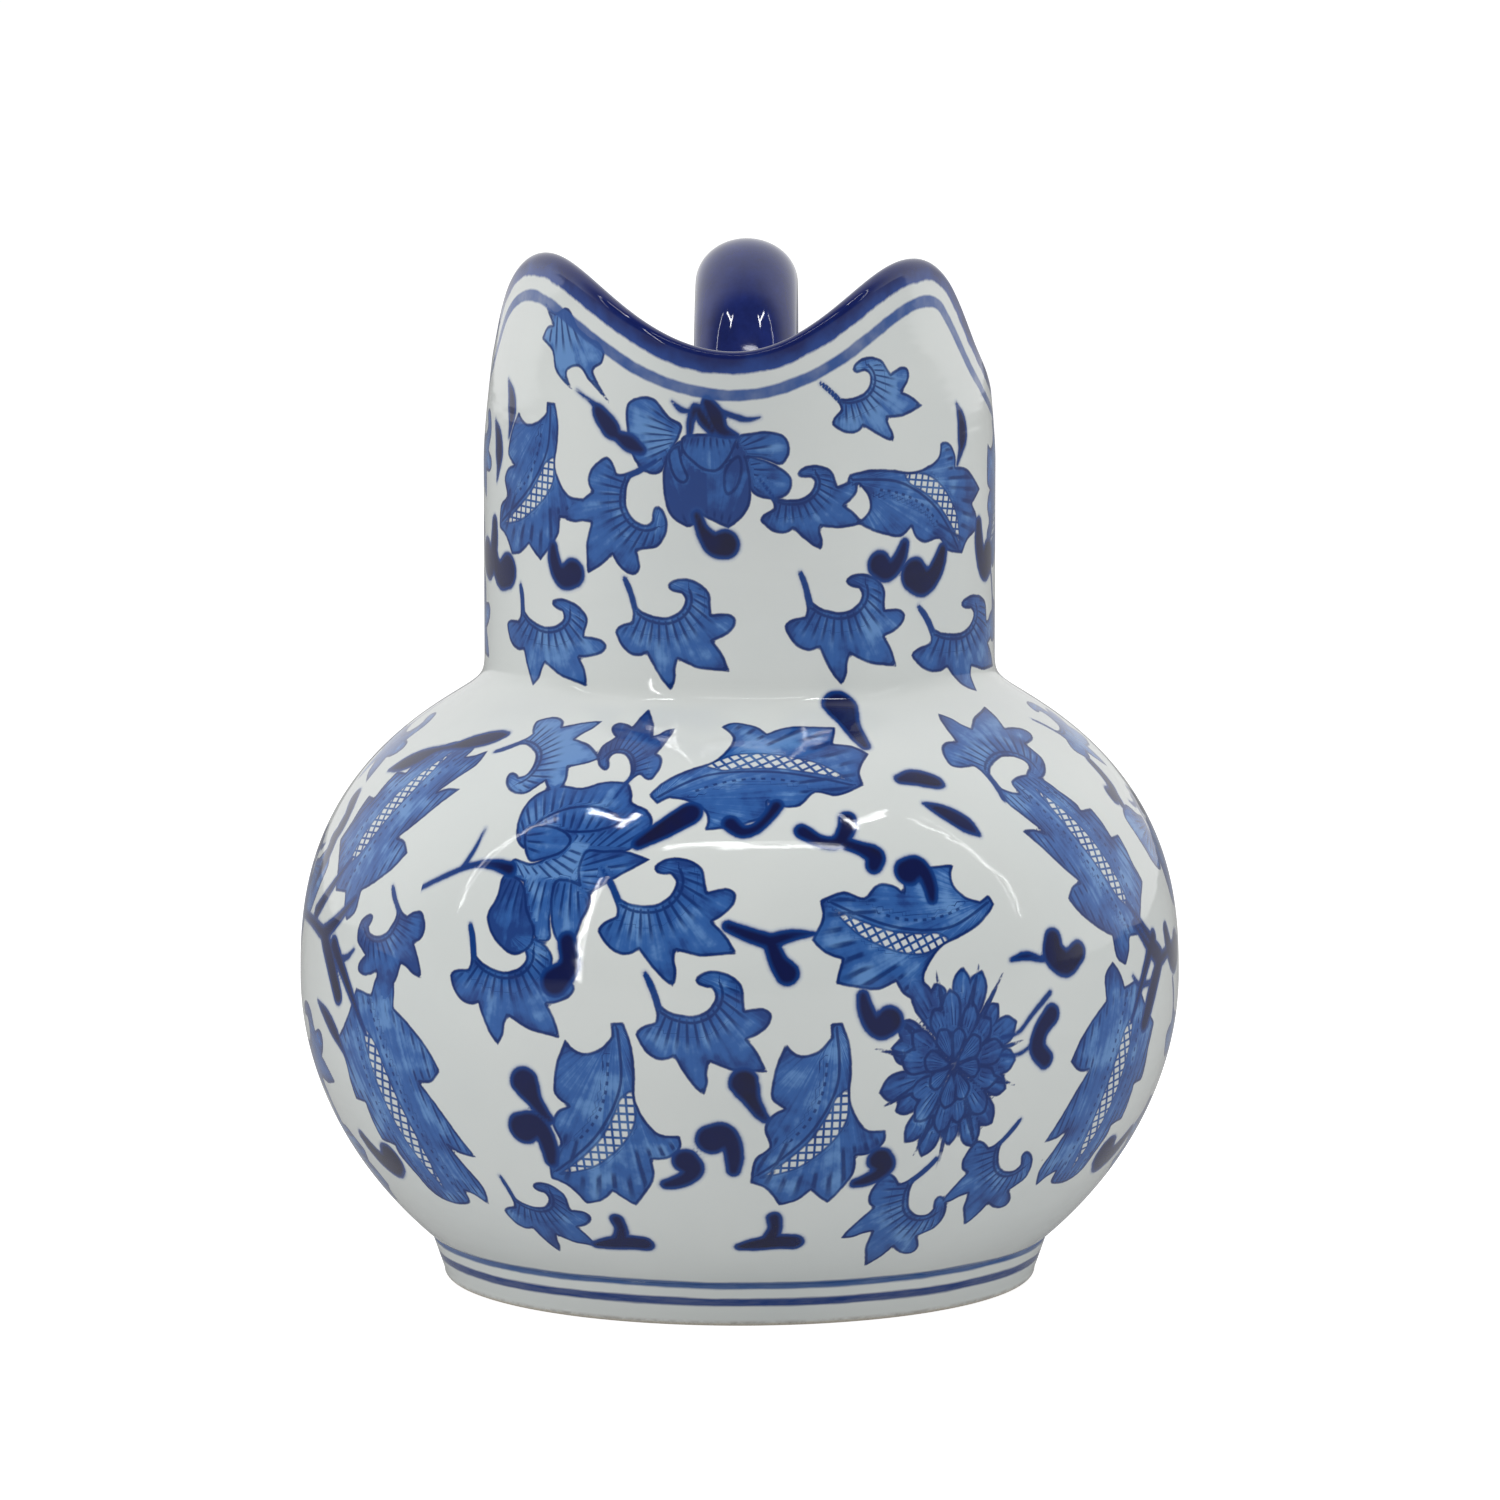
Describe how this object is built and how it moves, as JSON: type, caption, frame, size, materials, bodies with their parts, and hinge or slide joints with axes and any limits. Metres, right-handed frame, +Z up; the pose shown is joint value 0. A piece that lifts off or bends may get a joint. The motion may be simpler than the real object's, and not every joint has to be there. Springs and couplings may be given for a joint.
{
  "type": "jug",
  "caption": "Blue and white porcelain jug with a round belly, a straight neck, a pinched spout between two raised ears and a cobalt loop handle.",
  "frame": {"origin": "middle of the jug's footprint box, on the surface it stands on", "axes": "+Z up; -Y towards the spout and +Y towards the handle; +X to the right as seen from the spout side"},
  "size_m": [0.16, 0.191, 0.187],
  "materials": {
    "painted_porcelain": "gloss",
    "foot_porcelain": "gloss with an unglazed bottom edge",
    "cobalt_glaze": "gloss"
  },
  "bodies": {
    "root": {"foot_ring": "foot_porcelain", "lower_belly": "painted_porcelain", "upper_belly": "painted_porcelain", "neck_and_spout": "painted_porcelain", "handle": "cobalt_glaze", "upper_luting_slip": "cobalt_glaze", "lower_luting_slip": "cobalt_glaze"}
  },
  "joints": []
}
